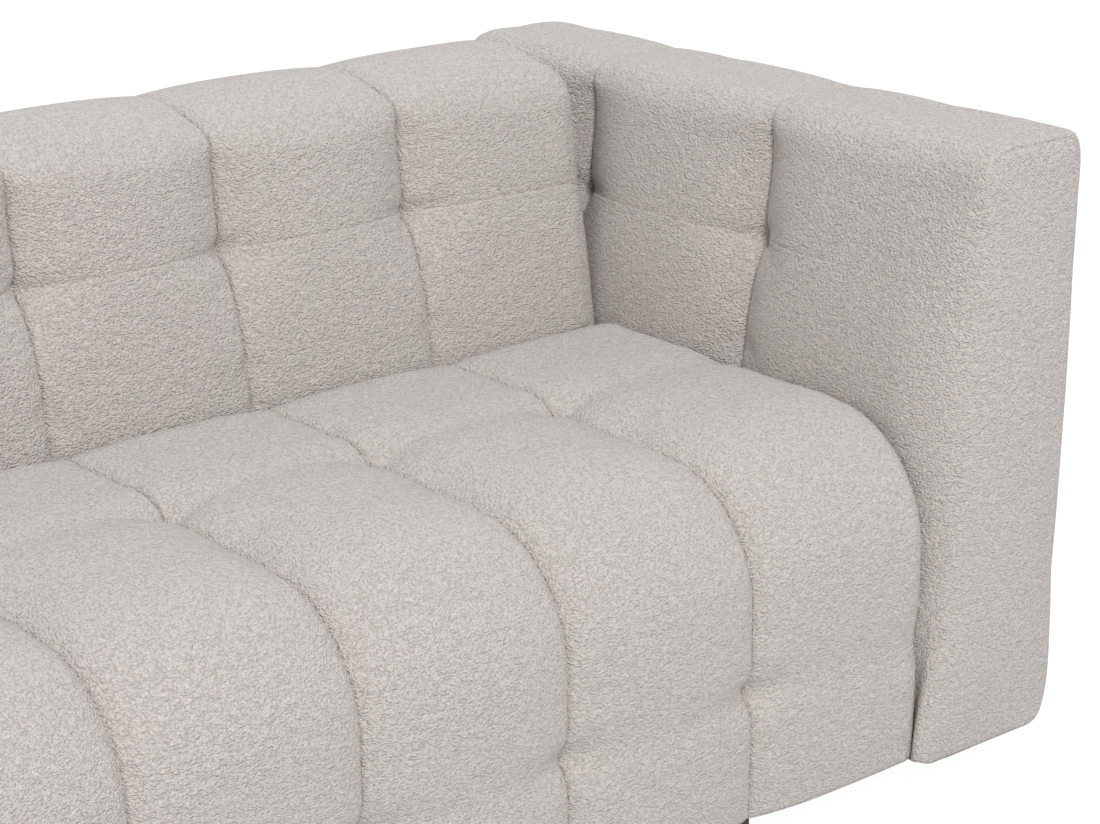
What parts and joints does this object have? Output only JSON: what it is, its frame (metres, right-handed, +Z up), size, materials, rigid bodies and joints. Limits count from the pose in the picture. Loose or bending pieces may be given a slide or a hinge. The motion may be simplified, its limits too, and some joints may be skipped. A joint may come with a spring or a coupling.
{
  "type": "tuxedo sofa",
  "caption": "Deep padded sofa with arms as high as its back, channel-tufted seat, back and arms in nubbly fabric, on low hidden feet.",
  "frame": {"origin": "on the floor, under the centre of the overall box", "axes": "+X along the sofa, to the right of someone who faces its front; the front faces -Y; +Z up"},
  "size_m": [2.26, 0.906, 0.748],
  "materials": {
    "boucle": "matte",
    "foam": "matte",
    "felt": "matte",
    "dust_cloth": "matte",
    "twine": "matte",
    "strap": "matte",
    "timber": "matte",
    "plywood": "matte",
    "hardboard": "matte",
    "spring_steel": "satin",
    "zinc_steel": "satin",
    "black_plastic": "matte"
  },
  "bodies": {
    "root": {"seat_cover": "boucle", "seat_foam": "foam", "seat_deck_pad": "felt", "seat_springs": "spring_steel", "spring_clips": "zinc_steel", "spring_tie_wires": "spring_steel", "seat_front_rail": "timber", "seat_back_rail": "timber", "seat_side_rail_left": "timber", "seat_side_rail_right": "timber", "seat_stretcher_left": "timber", "seat_stretcher_right": "timber", "seat_corner_blocks": "timber", "seat_tuft_ties": "twine", "seat_dust_cover": "dust_cloth", "back_cover": "boucle", "back_foam": "foam", "back_webbing": "strap", "back_top_board": "plywood", "back_ledge_board": "plywood", "back_front_rail": "timber", "back_rear_rail": "timber", "back_side_board_left": "plywood", "back_side_board_right": "plywood", "back_rib_left": "plywood", "back_rib_right": "plywood", "back_tuft_ties": "twine", "back_dust_cover": "dust_cloth", "outside_back": "boucle", "arm_cover_left": "boucle", "arm_cover_right": "boucle", "arm_foam_left": "foam", "arm_foam_right": "foam", "arm_front_board_left": "plywood", "arm_front_board_right": "plywood", "arm_rear_board_left": "plywood", "arm_rear_board_right": "plywood", "arm_top_rail_left": "timber", "arm_top_rail_right": "timber", "arm_base_board_left": "plywood", "arm_base_board_right": "plywood", "arm_inner_panel_left": "hardboard", "arm_inner_panel_right": "hardboard", "arm_outer_panel_left": "hardboard", "arm_outer_panel_right": "hardboard", "arm_tuft_ties": "twine", "foot_blocks": "timber", "foot_arm_front_left": "black_plastic", "foot_arm_front_right": "black_plastic", "foot_arm_rear_left": "black_plastic", "foot_arm_rear_right": "black_plastic", "foot_seat_left": "black_plastic", "foot_seat_right": "black_plastic", "foot_back_left": "black_plastic", "foot_back_right": "black_plastic", "foot_glides": "felt", "foot_screws": "zinc_steel", "joining_plates": "zinc_steel", "joining_screws": "zinc_steel"}
  },
  "joints": []
}
